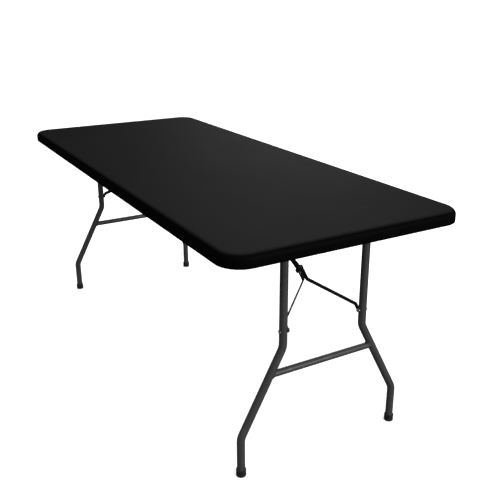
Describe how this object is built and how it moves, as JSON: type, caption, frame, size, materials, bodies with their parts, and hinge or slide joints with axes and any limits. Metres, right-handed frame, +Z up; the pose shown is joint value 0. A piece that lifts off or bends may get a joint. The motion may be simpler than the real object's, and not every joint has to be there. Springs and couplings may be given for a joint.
{
  "type": "folding table",
  "caption": "Rectangular folding table: hollow moulded top on fold-flat steel leg frames, held open by forked braces with sliding lock rings.",
  "frame": {"origin": "on the floor under the centre of the top", "axes": "+X along the top, +Y across it towards the back, +Z up"},
  "size_m": [1.829, 0.762, 0.737],
  "materials": {
    "top_moulding": "fine moulded grain, low sheen, near black",
    "underside_moulding": "plain moulded black",
    "frame_steel": "dark grey textured powder coat, semi-gloss",
    "brace_steel": "black powder coat, semi-gloss",
    "zinc_steel": "bright zinc plate",
    "plug_plastic": "black plastic",
    "foot_rubber": "black, slightly worn"
  },
  "bodies": {
    "top": {"top_panel": "top_moulding", "underside_panel": "underside_moulding", "side_rail_front": "frame_steel", "side_rail_back": "frame_steel", "brace_bracket_right": "frame_steel", "brace_bracket_pin_right": "zinc_steel", "rail_cap_right_front": "plug_plastic", "hinge_bracket_right_front": "frame_steel", "hinge_screw_right_front_inner": "zinc_steel", "hinge_screw_right_front_outer": "zinc_steel", "brace_screw_right_front": "zinc_steel", "rail_cap_right_back": "plug_plastic", "hinge_bracket_right_back": "frame_steel", "hinge_screw_right_back_inner": "zinc_steel", "hinge_screw_right_back_outer": "zinc_steel", "brace_screw_right_back": "zinc_steel", "brace_bracket_left": "frame_steel", "brace_bracket_pin_left": "zinc_steel", "rail_cap_left_front": "plug_plastic", "hinge_bracket_left_front": "frame_steel", "hinge_screw_left_front_inner": "zinc_steel", "hinge_screw_left_front_outer": "zinc_steel", "brace_screw_left_front": "zinc_steel", "rail_cap_left_back": "plug_plastic", "hinge_bracket_left_back": "frame_steel", "hinge_screw_left_back_inner": "zinc_steel", "hinge_screw_left_back_outer": "zinc_steel", "brace_screw_left_back": "zinc_steel"},
    "leg_frame_right": {"pivot_tube_right": "frame_steel", "crossbar_right": "frame_steel", "leg_tube_right_front": "frame_steel", "foot_cap_right_front": "foot_rubber", "brace_bolt_right_front": "zinc_steel", "leg_tube_right_back": "frame_steel", "foot_cap_right_back": "foot_rubber", "brace_bolt_right_back": "zinc_steel"},
    "link_right": {"brace_link_right": "brace_steel", "knuckle_pin_right": "zinc_steel"},
    "fork_right": {"brace_strap_right_front": "brace_steel", "brace_nut_right_front": "zinc_steel", "brace_strap_right_back": "brace_steel", "brace_nut_right_back": "zinc_steel"},
    "ring_right": {"lock_ring_right": "brace_steel"},
    "leg_frame_left": {"pivot_tube_left": "frame_steel", "crossbar_left": "frame_steel", "leg_tube_left_front": "frame_steel", "foot_cap_left_front": "foot_rubber", "brace_bolt_left_front": "zinc_steel", "leg_tube_left_back": "frame_steel", "foot_cap_left_back": "foot_rubber", "brace_bolt_left_back": "zinc_steel"},
    "link_left": {"brace_link_left": "brace_steel", "knuckle_pin_left": "zinc_steel"},
    "fork_left": {"brace_strap_left_front": "brace_steel", "brace_nut_left_front": "zinc_steel", "brace_strap_left_back": "brace_steel", "brace_nut_left_back": "zinc_steel"},
    "ring_left": {"lock_ring_left": "brace_steel"}
  },
  "joints": [
    {"name": "leg_fold_right", "type": "hinge", "parent": "top", "child": "leg_frame_right", "pos_m": [0.778, 0, 0.672], "axis": [0, 1, 0], "range_deg": [0, 90]},
    {"name": "link_swing_right", "type": "hinge", "parent": "top", "child": "link_right", "pos_m": [0.311, 0, 0.69], "axis": [0, -1, 0], "range_deg": [0, 24.1]},
    {"name": "fork_swing_right", "type": "hinge", "parent": "link_right", "child": "fork_right", "pos_m": [0.66, 0, 0.535], "axis": [0, 1, 0], "range_deg": [0, 156]},
    {"name": "ring_slide_right", "type": "slide", "parent": "link_right", "child": "ring_right", "axis": [-0.9139, 0, 0.4059], "range_m": [0, 0.0601]},
    {"name": "leg_fold_left", "type": "hinge", "parent": "top", "child": "leg_frame_left", "pos_m": [-0.778, 0, 0.672], "axis": [0, -1, 0], "range_deg": [0, 90]},
    {"name": "link_swing_left", "type": "hinge", "parent": "top", "child": "link_left", "pos_m": [-0.311, 0, 0.69], "axis": [0, 1, 0], "range_deg": [0, 24.1]},
    {"name": "fork_swing_left", "type": "hinge", "parent": "link_left", "child": "fork_left", "pos_m": [-0.66, 0, 0.535], "axis": [0, -1, 0], "range_deg": [0, 156]},
    {"name": "ring_slide_left", "type": "slide", "parent": "link_left", "child": "ring_left", "axis": [0.9139, 0, 0.4059], "range_m": [0, 0.0601]}
  ],
  "couplings": [
    {"joint": "link_swing_right", "follows": "leg_fold_right", "ratio": 0.26683},
    {"joint": "fork_swing_right", "follows": "leg_fold_right", "ratio": 1.7294},
    {"joint": "ring_slide_right", "follows": "leg_fold_right", "m_per_rad": 0.038197},
    {"joint": "link_swing_left", "follows": "leg_fold_left", "ratio": 0.26683},
    {"joint": "fork_swing_left", "follows": "leg_fold_left", "ratio": 1.7294},
    {"joint": "ring_slide_left", "follows": "leg_fold_left", "m_per_rad": 0.038197}
  ]
}
